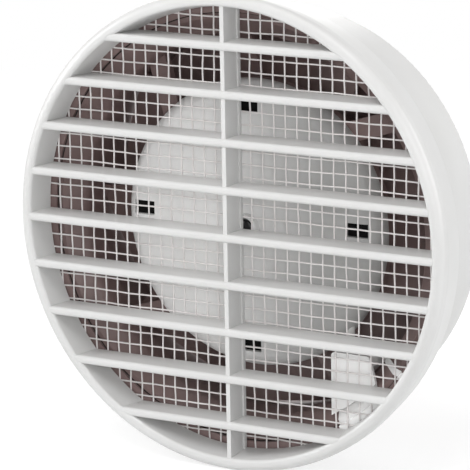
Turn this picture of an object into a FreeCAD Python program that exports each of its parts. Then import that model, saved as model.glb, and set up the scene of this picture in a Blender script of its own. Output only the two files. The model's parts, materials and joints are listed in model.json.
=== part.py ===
"""Wall ventilation fan for a 150 mm duct, behind a round louvre with an insect net.

Millimetres. X is to the right, Z is up and the fan's axis is Y. The wall plane is Y = 0,
the louvre stands out of the wall towards -Y and the duct spigot goes into it towards +Y.
"""
import FreeCAD, Part
import math
import os
import Sketcher

SIZES = {
    # Louvre grille
    "louvre_drop": 1.2,
    "louvre_nose": 3.2,
    "louvre_tail": 1.9,
    "louvre_depth": 11.0,
    "louvre_fall": 0.7,
    "louvre_nose_round": 1.2,
    "rim_face_width": 4.4,
    "rim_radius": 85.4,
    "rim_taper": 1.8,
    "rim_height": 16.0,
    "rim_lip": 5.0,
    "rim_wall": 1.8,
    "rim_front_round": 2.8,
    "rim_inner_round": 1.2,
    "ledge_reach": 1.6,
    "rib_thickness": 1.6,
    "rib_setback": 0.8,
    "rib_bar_width": 2.8,
    "rib_bar_thickness": 1.5,
    "moulding_overlap": 0.5,
    "lug_reach": 1.0,
    "lug_thickness": 0.9,
    # Net and its ring
    "net_thickness": 0.8,
    "net_pitch": 9.4,
    "net_thread": 0.9,
    "net_ring_thickness": 1.2,
    "net_ring_width": 4.2,
    "net_clearance": 0.4,
    # Casing and wall seal
    "flange_thickness": 2.0,
    "flange_clearance": 0.2,
    "flange_overhang": 10.9,
    "collar_step": 1.5,
    "spigot_wall": 2.0,
    "spigot_length": 34.0,
    "spigot_lead_in": 0.8,
    "seal_gap": 0.3,
    # Fan frame
    "frame_clearance": 0.15,
    "frame_wall": 1.7,
    "frame_rear_setback": 2.0,
    "flare_end": 3.0,
    "flare_round": 5.0,
    "throat_end": 13.5,
    "throat_step": 1.0,
    "rear_lip_width": 1.0,
    "rear_lip_clearance": 0.3,
    "plate_front": 9.0,
    "plate_thickness": 3.0,
    "arm_width": 8.0,
    "bearing_tube_wall": 2.0,
    "bearing_tube_front": 3.4,
    "bearing_tube_back": 24.0,
    "bearing_shoulder_reach": 1.0,
    "clip_width": 7.0,
    "clip_thickness": 3.2,
    "clip_gap": 4.0,
    "standoff_radius": 2.2,
    "standoff_margin": 6.0,
    "frame_screw_radius": 1.0,
    "frame_screw_head_radius": 2.0,
    "frame_screw_length": 9.0,
    # Motor cover
    "cover_overlap": 6.6,
    "cover_wall": 1.8,
    "cover_face": 0.3,
    "cover_slope": 1.2,
    "cover_shoulder_round": 7.0,
    "cover_nose_radius": 4.8,
    "cover_nose_height": 2.4,
    "cover_nose_bore": 3.6,
    "window_setback": 8.7,
    "window_rise": 2.6,
    "window_width": 8.6,
    "window_height": 5.0,
    # Drive board
    "board_inner_radius": 12.0,
    "board_margin": 17.7,
    "board_thickness": 1.6,
    "board_standoff": 1.0,
    "board_screw_radius": 1.0,
    "board_screw_head_radius": 1.9,
    "board_screw_head_height": 1.2,
    "capacitor_radius": 4.0,
    "component_height": 2.6,
    "chip_length": 9.0,
    "chip_width": 6.0,
    # Stator
    "stack_front": 15.5,
    "stack_length": 9.0,
    "air_gap": 0.7,
    "stack_hub_radius": 14.0,
    "tooth_width": 8.0,
    "tooth_head": 2.6,
    "slot_opening": 3.0,
    "coil_thickness": 3.0,
    "coil_overhang": 2.2,
    "coil_clearance": 0.2,
    # Bearings and shaft
    "shaft_radius": 2.5,
    "shaft_front": -1.6,
    "bearing_radius": 6.5,
    "bearing_width": 4.0,
    "ball_radius": 1.2,
    "ball_clearance": 0.05,
    "race_land": 0.8,
    "clip_groove_depth": 0.3,
    "clip_ring_thickness": 0.6,
    "clip_ring_radius": 3.9,
    "washer_thickness": 0.5,
    "washer_radius": 3.6,
    # Rotor bell and magnet
    "bell_wall": 1.5,
    "bell_front": 13.6,
    "bell_coil_gap": 0.8,
    "bell_boss_radius": 7.0,
    "bell_boss_gap": 0.6,
    "magnet_thickness": 3.9,
    "magnet_length": 10.0,
    # Impeller
    "hub_wall": 5.0,
    "hub_front": 13.0,
    "hub_floor": 2.5,
    "hub_round": 4.0,
    "tip_clearance": 1.0,
    "blade_front": 14.5,
    "blade_setback": 2.0,
    "blade_thickness": 1.8,
    "blade_root_depth": 2.0,
    "impeller_screw_circle": 22.0,
    "impeller_screw_radius": 1.25,
    "impeller_screw_head_radius": 2.4,
    "impeller_screw_head_height": 1.4,
    # Terminal box on the lower right arm
    "box_round": 1.5,
    "box_inner_round": 0.4,
    "apron_reach": 4.0,
    "box_seam": 3.0,
    "box_front": -2.8,
    "box_wall": 1.4,
    "terminal_block_gap": 0.75,
    "terminal_block_height": 3.6,
    "terminal_screw_radius": 1.1,
    "terminal_screw_head": 0.5,
    "grommet_radius": 2.6,
    "grommet_bore": 1.6,
    "grommet_depth": 5.8,
    "grommet_length": 12.5,
    "grommet_clearance": 0.1,
    "lead_radius": 1.5,
    "lead_depth": 6.4,
    "lead_run": 13.0,
    "lead_clearance": 0.1,
    # Length by which every cut runs past the material
    "overrun": 1.0,
}
# Shares of a radius that a piece follows
SHARES = {
    "louvre_end_share": 0.53,
    "hub_share": 0.65,
    "blade_root_span_share": 1.0,
    "blade_root_curve_share": 1.333,
    "blade_tip_span_share": 0.87,
    "blade_tip_curve_share": 1.244,
    "box_left_share": 0.507,
    "box_right_share": 0.724,
    "box_top_share": 0.594,
    "box_bottom_share": 0.817,
    "box_corner_height_share": 0.159,
    "box_corner_width_share": 0.1536,
    "terminal_block_length_share": 0.34,
    "terminal_block_width_share": 0.33,
}
COUNTS = {
    "louvre_count": 9,
    "lug_count": 4,
    "arm_count": 4,
    "board_screw_count": 3,
    "tooth_count": 6,
    "ball_count": 7,
    "blade_count": 9,
    "impeller_screw_count": 3,
}
ANGLES = {
    "lug_sweep": 12.0,
    "lug_turn": 45.0,
    "arm_root_angle": 46.0,
    "arm_tip_angle": 36.0,
    "clip_ring_sweep": 310.0,
    "board_screw_turn": 150.0,
    "grommet_angle": -38.0,
    "apron_start": -61.4,
    "apron_end": -44.0,
    "full_turn": 360.0,
}


class Size:
    """A number together with the sheet expression that it comes from."""

    def __init__(self, value, text):
        self.value = value
        self.text = text

    def joined(self, other, sign, value):
        return Size(value, f"({self.text} {sign} {as_size(other).text})")

    def __add__(self, other):
        return self.joined(other, "+", self.value + as_size(other).value)

    def __sub__(self, other):
        return self.joined(other, "-", self.value - as_size(other).value)

    def __mul__(self, other):
        return self.joined(other, "*", self.value * as_size(other).value)

    def __truediv__(self, other):
        return self.joined(other, "/", self.value / as_size(other).value)

    def __neg__(self):
        return Size(-self.value, f"(0 - {self.text})")


def as_size(number):
    return number if isinstance(number, Size) else Size(number, repr(number))


def cosine(angle):
    return Size(math.cos(math.radians(angle.value)), f"cos({angle.text} * 1 deg)")


def sine(angle):
    return Size(math.sin(math.radians(angle.value)), f"sin({angle.text} * 1 deg)")


class NamedSizes:
    """The sheet's aliases as attributes, each one a Size."""

    def __init__(self, sheet, names):
        for name in names:
            setattr(self, name, Size(float(sheet.get(name)), f"{sheet.Name}.{name}"))


def write_sheet(document):
    sheet = document.addObject("Spreadsheet::Sheet", "sizes")
    table = {**SIZES, **SHARES, **COUNTS, **ANGLES}
    for row, (name, value) in enumerate(table.items(), start=1):
        sheet.set(f"A{row}", name)
        sheet.set(f"B{row}", str(value))
        sheet.setAlias(f"B{row}", name)
    document.recompute()
    return NamedSizes(sheet, table)


doc = FreeCAD.newDocument("ventilation_fan")
s = write_sheet(doc)
ZERO = Size(0.0, "0")
NODES = []

# Places along the axis and radii that several pieces share
front = -s.rim_height
net_front = front + s.louvre_depth
net_back = net_front + s.net_thickness
flange_front = net_back + s.net_ring_thickness
flange_back = flange_front + s.flange_thickness
opening_radius = s.rim_radius - s.rim_face_width
louvre_pitch = opening_radius * 2 / (s.louvre_count + s.louvre_end_share)
rim_back_radius = s.rim_radius - s.rim_taper
skirt_inner_radius = rim_back_radius - s.rim_wall
net_radius = skirt_inner_radius - s.net_clearance
mouth_radius = net_radius - s.net_ring_width
spigot_radius = s.rim_radius - s.flange_overhang
collar_radius = spigot_radius + s.collar_step
bore_radius = spigot_radius - s.spigot_wall
frame_radius = bore_radius - s.frame_clearance
frame_inner_radius = frame_radius - s.frame_wall
frame_back = s.spigot_length - s.frame_rear_setback
plate_back = s.plate_front + s.plate_thickness
tube_radius = s.bearing_radius + s.bearing_tube_wall
tip_radius = frame_inner_radius - s.tip_clearance
flare_radius = mouth_radius - s.frame_clearance * 2
throat_radius = tip_radius - s.throat_step
rear_lip_radius = tip_radius + s.rear_lip_clearance
hub_radius = tip_radius * s.hub_share
bell_radius = hub_radius - s.hub_wall
cover_radius = hub_radius + s.cover_overlap
window_circle = cover_radius - s.window_setback
board_outer_radius = cover_radius - s.board_margin
standoff_circle = board_outer_radius - s.standoff_margin
component_circle = (s.board_inner_radius + board_outer_radius) / 2
front_bearing = s.bearing_tube_front
rear_bearing = s.bearing_tube_back - s.bearing_width
board_back = s.plate_front - s.board_standoff
board_front = board_back - s.board_thickness
bell_inner_radius = bell_radius - s.bell_wall
stack_radius = bell_inner_radius - s.magnet_thickness - s.air_gap
bell_floor = s.stack_front + s.stack_length + s.coil_overhang + s.bell_coil_gap
bell_back = bell_floor + s.bell_wall
bell_boss_front = s.bearing_tube_back + s.bell_boss_gap
hub_back = bell_back + s.hub_floor
blade_back = hub_back - s.blade_setback
box_floor = s.plate_front - s.box_wall
box_left = throat_radius * s.box_left_share
box_right = throat_radius * s.box_right_share
box_top = -(throat_radius * s.box_top_share)
box_bottom = -(throat_radius * s.box_bottom_share)
block_left = box_left + s.box_wall + s.terminal_block_gap
block_top = box_top - s.box_wall - s.terminal_block_gap
apron_radius = throat_radius + s.apron_reach
grommet_inner_end = spigot_radius - s.grommet_length


def vector(x, y):
    return FreeCAD.Vector(x.value, y.value, 0)


def new_body(name):
    return doc.addObject("PartDesign::Body", name)


def publish(piece, name):
    """Give a finished piece the label that names its file."""
    piece.Label = name
    NODES.append(piece)
    return piece


def new_sketch(body, role, shift=ZERO):
    """A sketch on one of the body's origin planes, moved along the plane's normal."""
    sketch = body.newObject("Sketcher::SketchObject", f"{body.Name}_sketch")
    planes = [feature for feature in body.Origin.OriginFeatures if feature.Role == role]
    sketch.AttachmentSupport = (planes[0], "")
    sketch.MapMode = "FlatFace"
    sketch.setExpression("AttachmentOffset.Base.z", shift.text)
    return sketch


def bind(sketch, constraint, size):
    """Add a dimension to a sketch and tie it to the sheet."""
    index = sketch.addConstraint(constraint)
    sketch.setExpression(f"Constraints[{index}]", size.text)


def pin_point(sketch, geometry, position, x, y):
    """Tie a point of a sketch to its distances from the origin."""
    bind(sketch, Sketcher.Constraint("DistanceX", -1, 1, geometry, position, x.value), x)
    bind(sketch, Sketcher.Constraint("DistanceY", -1, 1, geometry, position, y.value), y)


def rounded_corner(before, corner, after, radius):
    """The tangent points and the arc that round off one corner of an outline."""
    back = (before - corner).normalize()
    ahead = (after - corner).normalize()
    half_angle = back.getAngle(ahead) / 2
    reach = radius / math.tan(half_angle)
    centre = corner + (back + ahead).normalize() * (radius / math.sin(half_angle))
    start = corner + back * reach
    end = corner + ahead * reach
    left_turn = (corner - before).cross(after - corner).z > 0
    first, last = (start, end) if left_turn else (end, start)
    first_angle = math.atan2(first.y - centre.y, first.x - centre.x)
    last_angle = math.atan2(last.y - centre.y, last.x - centre.x)
    if last_angle < first_angle:
        last_angle += 2 * math.pi
    circle = Part.Circle(centre, FreeCAD.Vector(0, 0, 1), radius)
    return start, end, Part.ArcOfCircle(circle, first_angle, last_angle), left_turn


def draw_outline(sketch, corners):
    """Draw a closed outline through corners of (x, y) or (x, y, rounding radius)."""
    points = [vector(corner[0], corner[1]) for corner in corners]
    count = len(corners)
    leave = list(points)
    arrive = list(points)
    arcs = {}
    for i, corner in enumerate(corners):
        if len(corner) == 3:
            rounding = rounded_corner(points[i - 1], points[i], points[(i + 1) % count], corner[2].value)
            arrive[i], leave[i] = rounding[:2]
            arcs[i] = rounding[2:]
    lines = []
    for i in range(count):
        lines.append(sketch.addGeometry(Part.LineSegment(leave[i], arrive[(i + 1) % count]), False))
    for i, corner in enumerate(corners):
        before, after = lines[i - 1], lines[i]
        if i not in arcs:
            sketch.addConstraint(Sketcher.Constraint("Coincident", before, 2, after, 1))
            pin_point(sketch, after, 1, corner[0], corner[1])
            continue
        arc, left_turn = arcs[i]
        curve = sketch.addGeometry(arc, False)
        first, last = (1, 2) if left_turn else (2, 1)
        sketch.addConstraint(Sketcher.Constraint("Tangent", before, 2, curve, first))
        sketch.addConstraint(Sketcher.Constraint("Tangent", curve, last, after, 1))
        bind(sketch, Sketcher.Constraint("Radius", curve, corner[2].value), corner[2])
        mark = sketch.addGeometry(Part.Point(points[i]), True)
        pin_point(sketch, mark, 1, corner[0], corner[1])
        sketch.addConstraint(Sketcher.Constraint("PointOnObject", mark, 1, before))
        sketch.addConstraint(Sketcher.Constraint("PointOnObject", mark, 1, after))


def draw_circle(sketch, x, y, radius):
    circle = Part.Circle(vector(x, y), FreeCAD.Vector(0, 0, 1), radius.value)
    index = sketch.addGeometry(circle, False)
    bind(sketch, Sketcher.Constraint("Radius", index, radius.value), radius)
    pin_point(sketch, index, 3, x, y)


def rectangle(low_x, low_y, high_x, high_y):
    return [(low_x, low_y), (high_x, low_y), (high_x, high_y), (low_x, high_y)]


def ring(inner, outer, low, high):
    """The outline, in radius and Y, of a plain ring."""
    return rectangle(inner, low, outer, high)


def polar(radius, angle):
    return radius * cosine(angle), radius * sine(angle)


def revolve(body, corners, sweep=s.full_turn):
    """Turn an outline given in radius and Y round the fan's axis."""
    sketch = new_sketch(body, "XY_Plane")
    draw_outline(sketch, corners)
    turned = body.newObject("PartDesign::Revolution", f"{body.Name}_turned")
    turned.Profile = sketch
    turned.ReferenceAxis = (sketch, ["V_Axis"])
    turned.setExpression("Angle", sweep.text)
    doc.recompute()
    return turned


def groove(body, corners):
    """Turn away an outline given in radius and Y."""
    sketch = new_sketch(body, "XY_Plane")
    draw_outline(sketch, corners)
    cut = body.newObject("PartDesign::Groove", f"{body.Name}_groove")
    cut.Profile = sketch
    cut.ReferenceAxis = (sketch, ["V_Axis"])
    cut.setExpression("Angle", s.full_turn.text)
    doc.recompute()
    return cut


def axial_pad(body, draw, start, end):
    """Pad a shape drawn in X and Z from one place on the axis to another."""
    sketch = new_sketch(body, "XZ_Plane", -start)
    draw(sketch)
    pad = body.newObject("PartDesign::Pad", f"{body.Name}_pad")
    pad.Profile = sketch
    pad.setExpression("Length", (end - start).text)
    pad.Reversed = True
    doc.recompute()
    return pad


def axial_pocket(body, draw, start, end):
    """Cut a shape drawn in X and Z from one place on the axis to another."""
    sketch = new_sketch(body, "XZ_Plane", -end)
    draw(sketch)
    pocket = body.newObject("PartDesign::Pocket", f"{body.Name}_pocket")
    pocket.Profile = sketch
    pocket.setExpression("Length", (end - start).text)
    pocket.Reversed = True
    doc.recompute()
    return pocket


def repeat_round(body, features, count):
    """Repeat features evenly round the fan's axis."""
    pattern = body.newObject("PartDesign::PolarPattern", f"{body.Name}_pattern")
    pattern.Originals = features
    pattern.Axis = ([axis for axis in body.Origin.OriginFeatures if axis.Role == "Y_Axis"][0], [""])
    pattern.setExpression("Angle", s.full_turn.text)
    pattern.setExpression("Occurrences", count.text)
    body.Tip = pattern
    doc.recompute()
    return pattern


def turn_about_axis(piece, angle):
    """Turn a whole piece about the fan's axis, anticlockwise as seen from the front."""
    piece.Placement.Rotation = FreeCAD.Rotation(FreeCAD.Vector(0, 1, 0), -angle.value)
    piece.setExpression("Placement.Rotation.Angle", (-angle).text)


def cylinder(name, radius, low, high, x=ZERO, z=ZERO):
    """A plain cylinder along Y."""
    rod = doc.addObject("Part::Cylinder", name)
    rod.setExpression("Radius", radius.text)
    rod.setExpression("Height", (high - low).text)
    rod.Placement.Rotation = FreeCAD.Rotation(FreeCAD.Vector(1, 0, 0), -90)
    rod.setExpression("Placement.Base.x", x.text)
    rod.setExpression("Placement.Base.y", low.text)
    rod.setExpression("Placement.Base.z", z.text)
    return rod


def radial_cylinder(name, radius, inner_end, outer_end, angle, depth):
    """A plain cylinder that points outwards from the fan's axis."""
    rod = doc.addObject("Part::Cylinder", name)
    rod.setExpression("Radius", radius.text)
    rod.setExpression("Height", (outer_end - inner_end).text)
    rod.Placement.Rotation = FreeCAD.Rotation(FreeCAD.Vector(0, 1, 0), 90 - angle.value)
    rod.setExpression("Placement.Rotation.Angle", (as_size(90) - angle).text)
    x, z = polar(inner_end, angle)
    rod.setExpression("Placement.Base.x", x.text)
    rod.setExpression("Placement.Base.y", depth.text)
    rod.setExpression("Placement.Base.z", z.text)
    return rod


def block(name, low, high):
    """A plain box between two corners."""
    box = doc.addObject("Part::Box", name)
    for side, base, start, end in zip(("Length", "Width", "Height"), "xyz", low, high):
        box.setExpression(side, (end - start).text)
        box.setExpression(f"Placement.Base.{base}", start.text)
    return box


def fuse(name, pieces):
    joined = doc.addObject("Part::MultiFuse", name)
    joined.Shapes = pieces
    joined.Refine = True
    return joined


def cut(name, base, tool):
    result = doc.addObject("Part::Cut", name)
    result.Base = base
    result.Tool = tool
    return result


def common(name, pieces):
    result = doc.addObject("Part::MultiCommon", name)
    result.Shapes = pieces
    return result


def make_louvre_grille():
    """The rim, nine level blades and the upright rib, in one moulding."""
    rim = new_body("grille_rim")
    ledge_radius = opening_radius - s.ledge_reach
    revolve(rim, [
        (opening_radius, front, s.rim_inner_round),
        (s.rim_radius, front, s.rim_front_round),
        (s.rim_radius, front + s.rim_lip),
        (rim_back_radius, ZERO),
        (skirt_inner_radius, ZERO),
        (skirt_inner_radius, net_front),
        (ledge_radius, net_front),
    ])
    blades = make_louvre_blades()
    rib = block("grille_rib", (-s.rib_thickness / 2, front + s.rib_setback, -s.rim_radius),
                (s.rib_thickness / 2, net_front, s.rim_radius))
    bar = block("grille_bar", (-s.rib_bar_width / 2, net_front - s.rib_bar_thickness, -s.rim_radius),
                (s.rib_bar_width / 2, net_front, s.rim_radius))
    inside = cylinder("grille_inside", opening_radius + s.moulding_overlap, front, net_front)
    bars = fuse("grille_bars", [blades, rib, bar])
    infill = common("grille_infill", [bars, inside])
    doc.recompute()
    publish(fuse("louvre_grille_solid", [rim, infill, make_grille_lugs()]), "louvre_grille")


def make_louvre_blades():
    """The stack of blades, thick and round at the nose, thinner and a little higher behind."""
    body = new_body("grille_blades")
    sketch = new_sketch(body, "YZ_Plane")
    lowest = -louvre_pitch * (s.louvre_count - 1) / 2 - s.louvre_drop
    nose = s.louvre_nose / 2
    tail = s.louvre_tail / 2
    draw_outline(sketch, [
        (front, lowest - nose, s.louvre_nose_round),
        (net_front, lowest + s.louvre_fall - tail),
        (net_front, lowest + s.louvre_fall + tail),
        (front, lowest + nose, s.louvre_nose_round),
    ])
    pad = body.newObject("PartDesign::Pad", "blade_pad")
    pad.Profile = sketch
    pad.setExpression("Length", (s.rim_radius * 2).text)
    pad.Midplane = True
    doc.recompute()
    stack = body.newObject("PartDesign::LinearPattern", "blade_stack")
    stack.Originals = [pad]
    stack.Direction = (sketch, ["V_Axis"])
    stack.setExpression("Length", (louvre_pitch * (s.louvre_count - 1)).text)
    stack.setExpression("Occurrences", s.louvre_count.text)
    body.Tip = stack
    doc.recompute()
    return body


def make_grille_lugs():
    """Short lugs inside the skirt that snap behind the casing's flange."""
    body = new_body("grille_lugs")
    lug = revolve(body, ring(skirt_inner_radius - s.lug_reach, skirt_inner_radius + s.moulding_overlap,
                             -s.lug_thickness, ZERO), s.lug_sweep)
    repeat_round(body, [lug], s.lug_count)
    turn_about_axis(body, s.lug_turn)
    return body


def make_insect_mesh():
    """The flat net, one face with a hole for each gap, given its thickness."""
    pitch = s.net_pitch.value
    gap = pitch - s.net_thread.value
    reach = int(mouth_radius.value // pitch) + 1
    upwards = FreeCAD.Vector(0, 1, 0)
    level = net_front.value
    centre = FreeCAD.Vector(0, level, 0)
    open_disc = Part.Face(Part.Wire(Part.makeCircle(mouth_radius.value, centre, upwards)))
    squares = []
    for column in range(-reach, reach):
        for row in range(-reach, reach):
            corner = FreeCAD.Vector(column * pitch + (pitch - gap) / 2, level, row * pitch + (pitch - gap) / 2)
            squares.append(Part.makePlane(gap, gap, corner, upwards, FreeCAD.Vector(0, 0, 1)))
    holes = Part.makeCompound(squares).common(open_disc)
    disc = Part.Face(Part.Wire(Part.makeCircle(net_radius.value, centre, upwards)))
    net = disc.cut(holes)
    print("net gaps", len(holes.Faces))
    piece = doc.addObject("Part::Feature", "insect_mesh_solid")
    piece.Shape = net.Faces[0].extrude(upwards * s.net_thickness.value)
    publish(piece, "insect_mesh")


def make_mesh_ring():
    body = new_body("mesh_ring_body")
    revolve(body, ring(mouth_radius, net_radius, net_back, flange_front))
    publish(body, "mesh_ring")


def make_casing():
    """The flange, the funnel and the duct spigot."""
    body = new_body("casing_body")
    flange_radius = skirt_inner_radius - s.flange_clearance
    revolve(body, [
        (mouth_radius, flange_front),
        (flange_radius, flange_front),
        (flange_radius, flange_back),
        (collar_radius, flange_back),
        (collar_radius, ZERO),
        (spigot_radius, ZERO),
        (spigot_radius, s.spigot_length, s.spigot_lead_in),
        (bore_radius, s.spigot_length),
        (bore_radius, ZERO),
    ])
    cable_hole = radial_cylinder("casing_cable_hole", s.grommet_radius + s.grommet_clearance,
                                 frame_inner_radius, s.rim_radius, s.grommet_angle, s.grommet_depth)
    holes = [cable_hole] + screw_holes("casing_screw_hole", s.frame_screw_radius, s.frame_screw_head_radius)
    publish(cut("casing_solid", body, fuse("casing_holes", holes)), "casing")


def make_wall_seal():
    body = new_body("wall_seal_body")
    outer = skirt_inner_radius - s.lug_reach - s.seal_gap
    revolve(body, ring(collar_radius + s.seal_gap, outer, flange_back, ZERO))
    publish(body, "wall_seal")


def arm_screw_angles():
    """The angle of each arm's outer end, where a screw holds the frame."""
    step = s.full_turn / s.arm_count
    return [s.arm_tip_angle + step * index for index in range(int(s.arm_count.value))]


def screw_holes(name, radius, head_radius):
    """Radial holes, with a countersink at the spigot's surface, for the frame screws."""
    tools = []
    depth = (s.plate_front + plate_back) / 2
    inner_end = spigot_radius - s.frame_screw_length
    for index, angle in enumerate(arm_screw_angles()):
        tools.append(radial_cylinder(f"{name}_{index}", radius, inner_end, s.rim_radius, angle, depth))
        sink = doc.addObject("Part::Cone", f"{name}_sink_{index}")
        place_countersink(sink, radius, head_radius, angle, depth)
        tools.append(sink)
    return tools


def place_countersink(sink, radius, head_radius, angle, depth):
    """A cone whose wide end is flush with the spigot's surface."""
    height = head_radius - radius
    x, z = polar(spigot_radius - height, angle)
    sink.setExpression("Radius1", radius.text)
    sink.setExpression("Radius2", head_radius.text)
    sink.setExpression("Height", height.text)
    sink.Placement.Rotation = FreeCAD.Rotation(FreeCAD.Vector(0, 1, 0), 90 - angle.value)
    sink.setExpression("Placement.Rotation.Angle", (as_size(90) - angle).text)
    sink.setExpression("Placement.Base.x", x.text)
    sink.setExpression("Placement.Base.y", depth.text)
    sink.setExpression("Placement.Base.z", z.text)


def make_frame_screws():
    """Four countersunk screws through the spigot into the ends of the arms."""
    depth = (s.plate_front + plate_back) / 2
    inner_end = spigot_radius - s.frame_screw_length
    screws = []
    for index, angle in enumerate(arm_screw_angles()):
        shank_end = spigot_radius - (s.frame_screw_head_radius - s.frame_screw_radius)
        shank = radial_cylinder(f"frame_screw_shank_{index}", s.frame_screw_radius, inner_end, shank_end,
                                angle, depth)
        head = doc.addObject("Part::Cone", f"frame_screw_head_{index}")
        place_countersink(head, s.frame_screw_radius, s.frame_screw_head_radius, angle, depth)
        screws.append(fuse(f"frame_screw_{index}", [shank, head]))
    group = doc.addObject("Part::Compound", "frame_screws_group")
    group.Links = screws
    publish(group, "frame_screws")


def make_frame_ring():
    """Flared ring round the impeller, with a lip at its rear that the impeller just passes."""
    body = new_body("frame_ring_body")
    lip_front = frame_back - s.rear_lip_width
    revolve(body, [
        (flare_radius - s.frame_wall, flange_front),
        (flare_radius, flange_front),
        (frame_radius, ZERO),
        (frame_radius, frame_back),
        (rear_lip_radius, frame_back),
        (rear_lip_radius, lip_front),
        (frame_inner_radius, lip_front),
        (frame_inner_radius, s.throat_end),
        (throat_radius, s.throat_end),
        (throat_radius, s.flare_end, s.flare_round),
    ])
    holes = screw_holes("ring_screw_hole", s.frame_screw_radius, s.frame_screw_head_radius)
    holes.append(radial_cylinder("ring_cable_hole", s.grommet_radius + s.grommet_clearance,
                                 throat_radius - s.overrun, s.rim_radius, s.grommet_angle, s.grommet_depth))
    publish(cut("frame_ring_solid", body, fuse("frame_ring_holes", holes)), "frame_ring")


def make_fan_frame():
    """Four swept arms that end against the ring, motor plate with its bearing tube, clips and standoffs."""
    pieces = [make_motor_plate(), make_arms(), make_cover_clips(), make_standoffs()]
    holes = screw_holes("frame_screw_hole", s.frame_screw_radius, s.frame_screw_head_radius)
    holes.append(make_board_screw_holes())
    solid = cut("fan_frame_solid", fuse("frame_moulding", pieces), fuse("frame_holes", holes))
    publish(solid, "fan_frame")


def make_motor_plate():
    body = new_body("frame_plate")
    shoulder_radius = s.bearing_radius - s.bearing_shoulder_reach
    revolve(body, [
        (s.bearing_radius, s.bearing_tube_front),
        (tube_radius, s.bearing_tube_front),
        (tube_radius, s.plate_front),
        (cover_radius, s.plate_front),
        (cover_radius, plate_back),
        (tube_radius, plate_back),
        (tube_radius, s.bearing_tube_back),
        (s.bearing_radius, s.bearing_tube_back),
        (s.bearing_radius, rear_bearing),
        (shoulder_radius, rear_bearing),
        (shoulder_radius, front_bearing + s.bearing_width),
        (s.bearing_radius, front_bearing + s.bearing_width),
    ])
    return body


def make_arms():
    """Arms that lean as they go out, from the motor plate to the ring."""
    body = new_body("frame_arms")
    root = cover_radius - s.arm_width / 2
    tip = frame_inner_radius + s.frame_wall / 2
    root_x, root_z = polar(root, s.arm_root_angle)
    tip_x, tip_z = polar(tip, s.arm_tip_angle)
    middle = (s.arm_root_angle + s.arm_tip_angle) / 2
    side_x = sine(middle) * s.arm_width / 2
    side_z = cosine(middle) * s.arm_width / 2
    arm = axial_pad(body, lambda sketch: draw_outline(sketch, [
        (root_x + side_x, root_z - side_z),
        (tip_x + side_x, tip_z - side_z),
        (tip_x - side_x, tip_z + side_z),
        (root_x - side_x, root_z + side_z),
    ]), s.plate_front, plate_back)
    repeat_round(body, [arm], s.arm_count)
    return common("frame_arms_trimmed", [body, cylinder("arm_limit", throat_radius, s.plate_front, plate_back)])


def window_places():
    """The centres, in X and Z, of the motor cover's four windows: the side ones sit a little high."""
    reach = window_circle
    return [(reach, s.window_rise), (ZERO, reach), (-reach, s.window_rise), (ZERO, -reach)]


def make_cover_clips():
    """Posts on the motor plate that reach up into the cover's windows."""
    top = s.cover_face + s.cover_slope + s.clip_gap
    posts = []
    for index, (x, z) in enumerate(window_places()):
        low = (x - s.clip_width / 2, top, z - s.clip_thickness / 2)
        high = (x + s.clip_width / 2, s.plate_front + s.moulding_overlap, z + s.clip_thickness / 2)
        posts.append(block(f"cover_clip_{index}", low, high))
    return fuse("cover_clips", posts)


def make_standoffs():
    body = new_body("board_standoffs")
    post = axial_pad(body, lambda sketch: draw_circle(sketch, standoff_circle, ZERO, s.standoff_radius),
                     board_back, s.plate_front + s.moulding_overlap)
    repeat_round(body, [post], s.board_screw_count)
    turn_about_axis(body, s.board_screw_turn)
    return body


def make_board_screw_holes():
    """The holes through the standoffs and the plate for the drive board's screws."""
    body = new_body("frame_board_screw_holes")
    hole = axial_pad(body, draw_board_screw_hole, board_back - s.overrun, plate_back + s.overrun)
    repeat_round(body, [hole], s.board_screw_count)
    turn_about_axis(body, s.board_screw_turn)
    return body


def make_motor_cover():
    """The shallow cup over the motor plate, with a collar round the shaft and four windows."""
    body = new_body("motor_cover_body")
    nose_tip = s.cover_face - s.cover_nose_height
    shoulder = s.cover_face + s.cover_slope
    inside_round = s.cover_shoulder_round - s.cover_wall
    inner_radius = cover_radius - s.cover_wall
    revolve(body, [
        (s.cover_nose_bore, nose_tip),
        (s.cover_nose_radius, nose_tip),
        (s.cover_nose_radius, s.cover_face),
        (cover_radius, shoulder, s.cover_shoulder_round),
        (cover_radius, s.plate_front),
        (inner_radius, s.plate_front),
        (inner_radius, shoulder + s.cover_wall, inside_round),
        (s.cover_nose_bore, s.cover_face + s.cover_wall),
    ])
    window = rectangle(-s.window_width / 2, -s.window_height / 2, s.window_width / 2, s.window_height / 2)
    for x, z in window_places():
        outline = [(x + corner[0], z + corner[1]) for corner in window]
        axial_pocket(body, lambda sketch, shape=outline: draw_outline(sketch, shape), nose_tip, s.plate_front)
    lead_hole = motor_lead_rod("motor_cover_lead_hole", s.lead_radius + s.lead_clearance)
    publish(cut("motor_cover_solid", body, lead_hole), "motor_cover")


def make_drive_board():
    body = new_body("drive_board_body")
    revolve(body, ring(s.board_inner_radius, board_outer_radius, board_front, board_back))
    hole = axial_pocket(body, draw_board_screw_hole, board_front - s.overrun, board_back + s.overrun)
    repeat_round(body, [hole], s.board_screw_count)
    turn_about_axis(body, s.board_screw_turn)
    publish(body, "drive_board")
    make_board_components()
    make_board_screws()


def make_board_components():
    """A capacitor and two chips that stand on the board."""
    top = board_front - s.component_height
    reach = component_circle
    half_length = s.chip_length / 2
    half_width = s.chip_width / 2
    capacitor = cylinder("board_capacitor", s.capacitor_radius, top, board_front, ZERO, reach)
    left_chip = block("board_left_chip", (-reach - half_width, top, -half_length),
                      (-reach + half_width, board_front, half_length))
    right_chip = block("board_right_chip", (reach - half_width, top, -half_length),
                       (reach + half_width, board_front, half_length))
    group = doc.addObject("Part::Compound", "board_components_group")
    group.Links = [capacitor, left_chip, right_chip]
    publish(group, "board_components")


def draw_board_screw_hole(sketch):
    draw_circle(sketch, standoff_circle, ZERO, s.board_screw_radius)


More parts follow.
